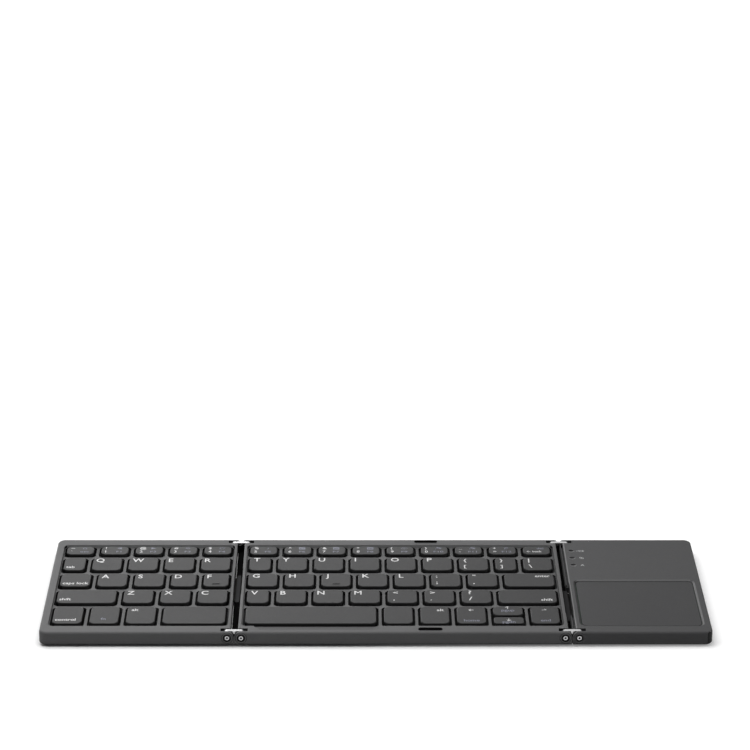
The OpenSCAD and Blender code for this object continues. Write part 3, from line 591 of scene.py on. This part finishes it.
def link_metal(name):
    """Bright steel on top and round its ears, with painted shade on its end faces and on its flanks below a level.
    """
    return over(metal(name, STEEL, 0.22, shade=0.0), end_face, {"Level": 5.7}, PAINTED_SHADE_STEEL)


def pin_metal(name, hinge):
    """A turned pin whose head shows a bright ring, with painted shade in its socket and everywhere off the ring.
    """
    values = {"Hinge": hinge, "Inner": 0.42, "Outer": 0.95}
    return over(metal(name, STEEL, 0.3), pin_ring, values, PAINTED_SHADE_STEEL)


def printed_ink(name, colour):
    """Screen-printed ink: nearly even, with a soft break-up where it has rubbed."""
    return plastic(name, colour, grain=0.4, depth=0.002, tone=0.12, gloss=0.5, gloss_change=0.05)


# ---------------------------------------------------------------- keycaps

def keycap(name, low, high):
    """A drafted cap with upright corners, a soft top edge and a hollow underside."""
    size = high - low
    cap = block(name, low, high)
    middle = (low + high) / 2
    pick(cap, "faces", lambda f: f.normal.z > 0.9)
    narrower = ((size.x - 2 * CAP_DRAFT) / size.x, (size.y - 2 * CAP_DRAFT) / size.y, 1)
    bpy.ops.transform.resize(value=narrower, center_override=(middle.x, middle.y, high.z))
    pick(cap, "edges", is_upright)
    corner = CAP_CORNER if size.y > LOW_CAP else LOW_CAP_CORNER
    bpy.ops.mesh.bevel(offset=corner, segments=CAP_CORNER_STEPS, affect="EDGES")
    pick(cap, "edges", lambda e: all(v.co.z > high.z - 1e-6 for v in e.verts))
    bpy.ops.mesh.bevel(offset=CAP_EDGE, segments=CAP_EDGE_STEPS, affect="EDGES")
    pick(cap, "faces", lambda f: f.normal.z > 0.999)
    bpy.ops.mesh.inset(thickness=CAP_LAND)
    pick(cap, "faces", lambda f: f.normal.z < -0.9)
    bpy.ops.mesh.inset(thickness=CAP_WALL)
    bpy.ops.mesh.extrude_region_move(TRANSFORM_OT_translate={"value": (0, 0, size.z - CAP_CROWN)})
    bpy.ops.object.mode_set(mode="OBJECT")
    return cap


def homing_bar(low, high):
    """The small raised bar on the cap between low and high."""
    x = (low.x + high.x) / 2
    y = (low.y + high.y) / 2 - BAR_TO_MIDDLE
    bar = block("bar", (x - BAR_SIZE[0] / 2, y - BAR_SIZE[1] / 2, CAP_TOP - BAR_SINK),
                (x + BAR_SIZE[0] / 2, y + BAR_SIZE[1] / 2, CAP_TOP + BAR_RISE))
    pick(bar, "edges", lambda e: min(v.co.z for v in e.verts) > CAP_TOP or is_upright(e))
    bpy.ops.mesh.bevel(offset=BAR_EDGE, segments=2, affect="EDGES")
    bpy.ops.object.mode_set(mode="OBJECT")
    return bar


def caps_for(node):
    """The caps that stand for one CAD node, as one piece on that node's body."""
    parts = []
    for low, high in solids_of(node):
        has_bar = high.z > CAP_TOP + BAR_RISE / 2
        high.z = CAP_TOP
        parts.append(keycap("cap", low, high))
        if has_bar:
            parts.append(homing_bar(low, high))
    piece = join("caps_" + node, parts)
    take(piece)
    bpy.ops.object.shade_smooth_by_angle(angle=math.radians(35))
    dress(piece, key_plastic)
    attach(piece, node)
    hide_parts(node)


# ---------------------------------------------------------------- printing

def legend(text, x, y, size, widen=1.0, hold="left", top=CAP_TOP):
    """One printed word or sign with its baseline at y. hold says which of its edges is at x."""
    clear_selection()
    bpy.ops.object.text_add(location=(0, 0, 0))
    obj = bpy.context.object
    obj.data.body = text
    obj.data.size = 1
    obj.data.align_y = "TOP_BASELINE"
    obj.data.extrude = PRINT_RISE
    obj.data.offset = PRINT_HEAVY
    obj.data.resolution_u = 3
    bpy.ops.object.convert(target="MESH")
    obj = bpy.context.object
    obj.data.transform(Matrix.Diagonal((size * widen, size, 1, 1)))
    left = min(v.co.x for v in obj.data.vertices)
    right = max(v.co.x for v in obj.data.vertices)
    edge = {"left": left, "middle": (left + right) / 2, "right": right}[hold]
    obj.data.transform(Matrix.Translation((x - edge, y, top)))
    return obj


def print_on(node, prints):
    """Joins a node's printing into one piece for each ink, riding on the node's body."""
    for name, ink in ((WHITE, white_ink), (BLUE, blue_ink)):
        parts = [obj for kind, obj in prints if kind == name]
        if parts:
            piece = join(name + node, parts)
            dress(piece, ink)
            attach(piece, node)


# The two inks of the keys, each by what the names of its pieces start with
WHITE, BLUE = "print_", "second_print_"

# Letters by row, with how far they lie from the left edge of a key and from its back edge
LETTER_ROWS = {
    "letter_keys_q_to_r": ("QWER", 1.9, 1.5),
    "letter_keys_a_to_f": ("ASDF", 1.9, 1.7),
    "letter_keys_z_to_c": ("ZXC", 1.9, 1.7),
    "letter_keys_t_to_p": ("TYUIOP", 2.4, 0.9),
    "letter_keys_g_to_l": ("GHJKL", 2.4, 1.1),
    "letter_keys_v_to_m": ("VBNM", 2.2, 1.7),
}
# Pairs of signs, with their distance from the left edge of the key and their size
SIGN_ROWS = {
    "letter_keys_t_to_p": [("{[", 2.6, 4.0), ("}]", 2.6, 4.0), ("|\\", 2.9, 4.6)],
    "letter_keys_g_to_l": [(":;", 2.6, 4.2), ("\",", 2.7, 4.2)],
    "letter_keys_v_to_m": [("<,", 3.0, 4.0), (">.", 3.0, 4.0), ("?/", 3.6, 5.0)],
}
# The sign, the digit, and the second use of each key in the number row
NUMBER_ROWS = {
    "number_keys_left": ["~`⌂ esc", "!1◀ F1", "@2▶ F2", "#3☼ F3", "$4☀ F4"],
    "number_keys_right": ["%5♪ F5", "^6⏯ F6", "&7⏮ F7", "*8⏭ F8", "(9\U0001f507 F9",
                          ")0\U0001f509 F10", "_-\U0001f50a F11", "+=\U0001f512 F12"],
}
# The four prints of a key in the number row, as (ink, distance from its left edge, baseline from
# its back edge, size, widening, edge held)
NUMBER_PRINTS = (
    (WHITE, 2.3, 3.3, DIGIT_SIZE, 1.0, "left"),
    (WHITE, 2.3, 7.0, DIGIT_SIZE, 1.0, "left"),
    (BLUE, 8.8, 3.3, SECOND_SIZE, 1.2, "middle"),
    (BLUE, 8.8, 6.9, SECOND_SIZE, 1.4, "middle"),
)
BACK_KEY_TEXTS = ("← back", "del")
BACK_KEY_PRINTS = (
    (WHITE, 2.0, 6.7, SECOND_SIZE, 1.0, "left"),
    (BLUE, 7.0, 3.4, SECOND_SIZE, 1.2, "left"),
)
# Words as (text, ink, edge held, its distance from that edge of the key, baseline from the key's front)
KEY_WORDS = {
    "tab_key": [("tab", WHITE, "left", 1.6, 2.9)],
    "caps_key": [("caps lock", WHITE, "left", 1.6, 2.8)],
    "left_shift_key": [("shift", WHITE, "left", 1.6, 3.3)],
    "control_key": [("control", WHITE, "left", 1.6, 3.3)],
    "fn_key": [("fn", BLUE, "middle", -0.4, 4.1)],
    "left_alt_key": [("alt", WHITE, "left", 2.3, 13.1)],
    "enter_key": [("enter", WHITE, "right", 2.2, 10.3)],
    "right_shift_key": [("shift", WHITE, "right", 2.3, 2.8)],
    "right_alt_key": [("alt", WHITE, "right", 2.8, 12.9)],
    "arrow_left_key": [("←", WHITE, "middle", 0, 12.9), ("home", BLUE, "middle", 0, 2.5)],
    "arrow_up_key": [("↑", WHITE, "middle", 0, 7.0), ("pgup", BLUE, "middle", 0, 4.4)],
    "arrow_down_key": [("↓", WHITE, "middle", 0, 2.9), ("pgdn", BLUE, "middle", 0, 1.0)],
    "arrow_right_key": [("→", WHITE, "middle", 0, 12.9), ("end", BLUE, "middle", 0, 2.5)],
}


def letter_prints(node, caps):
    """Capitals, and behind them the keys that carry two signs one above the other."""
    text, inset, drop = LETTER_ROWS[node]
    prints = []
    for letter, (low, high) in zip(text, caps):
        baseline = high.y - drop * MM - CAPITAL_HEIGHT
        prints.append((WHITE, legend(letter, low.x + inset * MM, baseline, LETTER_SIZE, LETTER_WIDEN)))
    for (pair, inset, size), (low, high) in zip(SIGN_ROWS.get(node, []), caps[len(text):]):
        for sign, drop in zip(pair, SIGN_BASELINES):
            x, baseline = low.x + inset * MM, high.y - drop * MM
            prints.append((WHITE, legend(sign, x, baseline, size * MM, SIGN_WIDEN)))
    return prints


def number_prints(node, caps):
    """A sign over a digit on the left of each key, a pictogram over a word to their right, and back."""
    rows = [((text[0], text[1], text[2], text[4:]), NUMBER_PRINTS) for text in NUMBER_ROWS[node]]
    rows.append((BACK_KEY_TEXTS, BACK_KEY_PRINTS))
    prints = []
    for (texts, places), (low, high) in zip(rows, caps):
        for text, (ink, inset, drop, size, widen, hold) in zip(texts, places):
            x, baseline = low.x + inset * MM, high.y - drop * MM
            prints.append((ink, legend(text, x, baseline, size, widen, hold)))
    return prints


def word_prints(node, caps):
    """The words and arrows of a key that is a node of its own."""
    low, high = caps[0]
    prints = []
    for text, ink, hold, reach, rise in KEY_WORDS[node]:
        x = {
            "left": low.x + reach * MM,
            "middle": (low.x + high.x) / 2 + reach * MM,
            "right": high.x - reach * MM,
        }[hold]
        prints.append((ink, legend(text, x, low.y + rise * MM, WORD_SIZE, hold=hold)))
    return prints


def print_all_keys():
    for node in KEY_NODES:
        caps = solids_of(node)
        if node in LETTER_ROWS:
            print_on(node, letter_prints(node, caps))
        elif node in NUMBER_ROWS:
            print_on(node, number_prints(node, caps))
        elif node in KEY_WORDS:
            print_on(node, word_prints(node, caps))


def bar_mark(x, y, width, depth):
    """A printed bar on the cover, with its middle at x, y."""
    return block("mark", (x - width / 2, y - depth / 2, COVER_TOP - PRINT_RISE),
                 (x + width / 2, y + depth / 2, COVER_TOP + PRINT_RISE))


def outline_mark(x, y, width, depth):
    """A printed rectangle on the cover, drawn in outline, with its middle at x, y."""
    mark = bar_mark(x, y, width, depth)
    pick(mark, "faces", lambda f: abs(f.normal.z) > 0.9)
    bpy.ops.mesh.inset(thickness=MARK_LINE)
    bpy.ops.mesh.bridge_edge_loops()
    bpy.ops.object.mode_set(mode="OBJECT")
    return mark


def print_light_marks():
    """The small signs to the right of the three indicator lights: charge, link and capitals."""
    middles = [(low.y + high.y) / 2 for low, high in solids_of("indicator_lights")]
    charge, link, capitals = sorted(middles, reverse=True)
    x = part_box("indicator_lights")[1][0] + MARK_GAP
    parts = [
        outline_mark(x, charge, 2.1 * MM, 1.5 * MM),
        bar_mark(x + 1.2 * MM, charge, 0.3 * MM, 0.7 * MM),
        bar_mark(x - 1.85 * MM, charge, 0.9 * MM, 0.3 * MM),
        outline_mark(x - 0.5 * MM, link + 0.35 * MM, 1.3 * MM, 1.1 * MM),
        outline_mark(x + 0.1 * MM, link - 0.3 * MM, 1.3 * MM, 1.1 * MM),
        legend("A", x - 0.3 * MM, capitals - 0.9 * MM, 2.6 * MM, hold="middle", top=COVER_TOP),
    ]
    piece = join("light_marks", parts)
    dress(piece, grey_ink)
    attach(piece, "right_panel")


# ---------------------------------------------------------------- flex cables

def flex_cable(side):
    """The flat cable across one hinge, as two flat halves that meet at the hinge line, each cut across into
    strips.
    """
    node = side + "_flex_cable"
    low, high = (Vector(corner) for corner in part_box(node))
    hinge = HINGES[side]
    panels = {"left": ("left_panel", "middle_panel"), "right": ("middle_panel", "right_panel")}[side]
    for panel, turn in zip(panels, (-1, 1)):
        far = high.x if turn > 0 else low.x
        ends = sorted((hinge, far))
        half = block(f"{side}_cable_to_{panel}", (ends[0], low.y, low.z), (ends[1], high.y, high.z))
        pick(half, "edges", lambda e: abs(e.verts[0].co.x - e.verts[1].co.x) > 1e-5)
        bpy.ops.mesh.subdivide(number_cuts=CABLE_STEPS)
        bpy.ops.object.mode_set(mode="OBJECT")
        dress(half, flex_film)
        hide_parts(node)
        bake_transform(half)


# ---------------------------------------------------------------- studio and camera

def make_camera():
    data = bpy.data.cameras.new("camera")
    data.sensor_width = SENSOR
    data.lens = CAMERA_LENS
    data.clip_start, data.clip_end = 0.05, 20
    camera = bpy.data.objects.new("camera", data)
    bpy.context.collection.objects.link(camera)
    pitch, yaw, roll = (math.radians(a) for a in (CAMERA_PITCH, CAMERA_YAW, CAMERA_ROLL))
    forward = Vector((math.sin(yaw) * math.cos(pitch), math.cos(yaw) * math.cos(pitch), -math.sin(pitch)))
    level = Vector((math.cos(yaw), -math.sin(yaw), 0))
    upward = level.cross(forward)
    right = math.cos(roll) * level + math.sin(roll) * upward
    up = right.cross(forward)
    turn = Matrix((right, up, -forward)).transposed().to_4x4()
    camera.matrix_world = Matrix.Translation(CAMERA_PLACE) @ turn
    bpy.context.scene.camera = camera


def area_light(name, place, size, power, turn=(0, 0, 0)):
    """A softbox that shines straight down before it is turned by the angles in degrees."""
    data = bpy.data.lights.new(name, "AREA")
    data.shape = "RECTANGLE"
    data.size, data.size_y = size
    data.energy = power
    light = bpy.data.objects.new(name, data)
    bpy.context.collection.objects.link(light)
    turned = Euler([math.radians(angle) for angle in turn]).to_matrix().to_4x4()
    light.matrix_world = Matrix.Translation(place) @ turned
    light.visible_camera = False


def bright_for_camera(tree, shader_out, plain, shown):
    """Mixes the plain shader with the one that camera, mirrors and glass see."""
    rays = add(tree, "ShaderNodeLightPath")
    either = add(tree, "ShaderNodeMath", operation="MAXIMUM")
    any_of = add(tree, "ShaderNodeMath", operation="MAXIMUM")
    mix = add(tree, "ShaderNodeMixShader")
    tree.links.new(rays.outputs["Is Camera Ray"], either.inputs[0])
    tree.links.new(rays.outputs["Is Glossy Ray"], either.inputs[1])
    tree.links.new(either.outputs[0], any_of.inputs[0])
    tree.links.new(rays.outputs["Is Transmission Ray"], any_of.inputs[1])
    tree.links.new(any_of.outputs[0], mix.inputs["Fac"])
    tree.links.new(plain.outputs[0], mix.inputs[1])
    tree.links.new(shown.outputs[0], mix.inputs[2])
    tree.links.new(mix.outputs[0], shader_out)


def floor_material():
    """A white floor that glows, for the camera, by what the softbox loses with distance.

    At a distance d from the point below the softbox, its light falls to (1 + (d / LIGHT_FALL)²)^-1.5.
    """
    material = bpy.data.materials.new("white_floor")
    material.use_nodes = True
    tree = material.node_tree
    tree.nodes.remove(tree.nodes["Principled BSDF"])
    link = tree.links.new
    plain = add(tree, "ShaderNodeBsdfDiffuse", {"Color": (*[FLOOR_BOUNCE] * 3, 1)})
    matt = add(tree, "ShaderNodeBsdfDiffuse", {"Color": (*[FLOOR_TONE] * 3, 1)})
    place = add(tree, "ShaderNodeTexCoord")
    under = add(tree, "ShaderNodeVectorMath", {1: (*LIGHT_PLACE[:2], 0)}, operation="DISTANCE")
    spread = add(tree, "ShaderNodeMath", {1: LIGHT_FALL}, operation="DIVIDE")
    square = add(tree, "ShaderNodeMath", {1: 2.0}, operation="POWER")
    plus = add(tree, "ShaderNodeMath", {1: 1.0}, operation="ADD")
    fall = add(tree, "ShaderNodeMath", {1: -1.5}, operation="POWER")
    lit = add(tree, "ShaderNodeMath", {1: FLOOR_TONE * FLOOR_LIT}, operation="MULTIPLY")
    rest = add(tree, "ShaderNodeMath", {0: 1.0}, operation="SUBTRACT", use_clamp=True)
    glow = add(tree, "ShaderNodeEmission", {"Color": (1, 1, 1, 1)})
    both = add(tree, "ShaderNodeAddShader")
    link(place.outputs["Object"], under.inputs[0])
    link(under.outputs["Value"], spread.inputs[0])
    link(spread.outputs[0], square.inputs[0])
    link(square.outputs[0], plus.inputs[0])
    link(plus.outputs[0], fall.inputs[0])
    link(fall.outputs[0], lit.inputs[0])
    link(lit.outputs[0], rest.inputs[1])
    link(rest.outputs[0], glow.inputs["Strength"])
    link(matt.outputs[0], both.inputs[0])
    link(glow.outputs[0], both.inputs[1])
    bright_for_camera(tree, tree.nodes["Material Output"].inputs["Surface"], plain, both)
    return material


def make_studio():
    world = bpy.data.worlds.new("studio")
    world.use_nodes = True
    bpy.context.scene.world = world
    tree = world.node_tree
    plain = tree.nodes["Background"]
    plain.inputs["Color"].default_value = (1, 1, 1, 1)
    plain.inputs["Strength"].default_value = WORLD_FILL
    shown = add(tree, "ShaderNodeBackground", {"Color": (1, 1, 1, 1), "Strength": 1.0})
    bright_for_camera(tree, tree.nodes["World Output"].inputs["Surface"], plain, shown)

    clear_selection()
    bpy.ops.mesh.primitive_plane_add(size=FLOOR_SIZE, location=(0, 0, 0))
    floor = bpy.context.object
    floor.name = "floor"
    dress(floor, floor_material())

    area_light("softbox", LIGHT_PLACE, LIGHT_SIZE, LIGHT_POWER)
    area_light("sheen_panel", SHEEN_PLACE, SHEEN_SIZE, SHEEN_POWER, SHEEN_TURN)
    area_light("end_fill", FILL_PLACE, FILL_SIZE, FILL_POWER, FILL_TURN)
    bpy.context.scene.view_settings.view_transform = "Standard"


# ---------------------------------------------------------------- the scene

bpy.ops.object.select_all(action="DESELECT")
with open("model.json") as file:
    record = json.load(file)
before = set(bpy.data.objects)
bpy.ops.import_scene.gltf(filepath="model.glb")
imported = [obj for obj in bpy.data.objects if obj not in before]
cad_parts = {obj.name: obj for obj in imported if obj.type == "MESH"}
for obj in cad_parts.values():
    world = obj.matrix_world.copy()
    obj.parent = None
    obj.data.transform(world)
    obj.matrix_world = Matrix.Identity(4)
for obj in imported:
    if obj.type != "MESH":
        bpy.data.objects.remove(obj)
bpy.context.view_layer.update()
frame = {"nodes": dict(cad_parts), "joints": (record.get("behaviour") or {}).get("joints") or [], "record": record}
make_camera()

moulded_skin = moulded_skin_group()
edge_wear = edge_wear_highlight_group()
crevice = crevice_painted_shade_group()
pin_ring = pin_ring_shade_group()
end_face = end_face_shade_group()
above = above_group()
steep_face = steep_face_shade_group()
slope = slope_light_and_shade_group()
back_wall = back_wall_highlight_group()
# The worn colours of the case, cover and keys are paler than wear alone, as a painted highlight along their edges
case_plastic = plastic("case_plastic", (0.068, 0.068, 0.069), wear_and_highlight=0.45, worn_highlight_colour=(0.15, 0.15, 0.152),
                       specular=0.12, shade=1.0)
# A painted highlight on the well's back wall behind the number keys
over(case_plastic, back_wall, {"Place": WELL_BACK}, (0.2, 0.2, 0.202))
cover_plastic = plastic("cover_plastic", (0.046, 0.046, 0.047), wear_and_highlight=0.9, worn_highlight_colour=(0.14, 0.14, 0.142),
                        wear_highlight_width=0.4, specular=0.1, shade=0.25)
# Painted highlights and painted shade on the cover's bevels, by the side that each faces
for toward, high, colour in COVER_PAINTED_LIGHT:
    over(cover_plastic, slope, {"Side": toward, "High": high}, colour)
base_plastic = plastic("base_plastic", (0.04, 0.041, 0.043), wear_and_highlight=0.3, worn_highlight_colour=(0.08, 0.08, 0.08))
# The spine is near black below the strip's level, as painted shade in the hinge channel, and dark grey above it
spine_plastic = over(plastic("spine_plastic", (0.004, 0.004, 0.004), specular=0.0, shade=0.0),
                     above, {"Level": STRIP_LEVEL}, (0.035, 0.035, 0.036))
key_plastic = plastic("key_plastic", (0.023, 0.023, 0.0235), depth=0.006, wear_and_highlight=0.3,
                      worn_highlight_colour=(0.07, 0.07, 0.072), gloss=0.42, shade=1.0, specular=0.1)
# Painted shade on the walls of the caps
over(key_plastic, steep_face, {"Amount": 0.9}, CREVICE_PAINTED_SHADE_COLOUR)
touch_surface = plastic("touch_surface", (0.029, 0.029, 0.03), grain=0.12, depth=0.003, gloss=0.42,
                        specular=0.1, shade=0.3)
hinge_steel = metal("hinge_steel", (0.6, 0.6, 0.61), 0.25)
screw_steel = metal("screw_steel", (0.45, 0.45, 0.46), 0.35)
magnet_nickel = metal("magnet_nickel", (0.6, 0.58, 0.54), 0.3)
plate_aluminium = metal("plate_aluminium", (0.25, 0.25, 0.255), 0.45)
rubber = plastic("rubber", (0.002, 0.002, 0.002), grain=0.5, depth=0.02, gloss=0.75, specular=0.0)
dome_rubber = plastic("dome_rubber", (0.01, 0.01, 0.01), grain=0.5, depth=0.02, gloss=0.7, specular=0.1)
circuit_board = plastic("circuit_board", (0.02, 0.12, 0.06), gloss=0.4)
battery_foil = metal("battery_foil", (0.6, 0.6, 0.6), 0.4)
flex_film = plastic("flex_film", (0.006, 0.0055, 0.005), gloss=0.45, specular=0.02)
# Painted shade on the lens faces that turn towards the typist, the back wall of each dimple
light_lens = over(plastic("light_lens", (0.06, 0.06, 0.061), depth=0.001, gloss=0.4, specular=0.1, shade=0.0),
                  slope, {"Side": (0, -1, 0), "Low": 0.2, "High": 1.0}, CREVICE_PAINTED_SHADE_COLOUR)
white_ink = printed_ink("white_ink", (0.5, 0.5, 0.5))
blue_ink = printed_ink("blue_ink", (0.13, 0.134, 0.165))
grey_ink = printed_ink("grey_ink", (0.32, 0.32, 0.32))

FINISHES = {
    "case_plastic": case_plastic,
    "base_plastic": base_plastic,
    "key_plastic": key_plastic,
    "touch_surface": touch_surface,
    "hinge_steel": hinge_steel,
    "screw_steel": screw_steel,
    "magnet_nickel": magnet_nickel,
    "key_plate_aluminium": plate_aluminium,
    "rubber": rubber,
    "dome_rubber": dome_rubber,
    "circuit_board": circuit_board,
    "battery_foil": battery_foil,
    "flex_film": flex_film,
    "light_lens": light_lens,
}
for part in frame["record"]["subparts"]:
    dress(frame["nodes"][part["node"]], FINISHES[part["material_slot"]])

dress(frame["nodes"]["right_cover"], cover_plastic)
for side, hinge in HINGES.items():
    dress(frame["nodes"][side + "_spine"], spine_plastic)
    dress(frame["nodes"][side + "_links"], link_metal(side + "_link_metal"))
    dress(frame["nodes"][side + "_hinge_pins"], pin_metal(side + "_pin_metal", hinge))
    flex_cable(side)

KEY_NODES = [j["child"] for j in frame["joints"] if j["type"] == "slide"]
for key_node in KEY_NODES:
    caps_for(key_node)
print_all_keys()
print_light_marks()
make_studio()
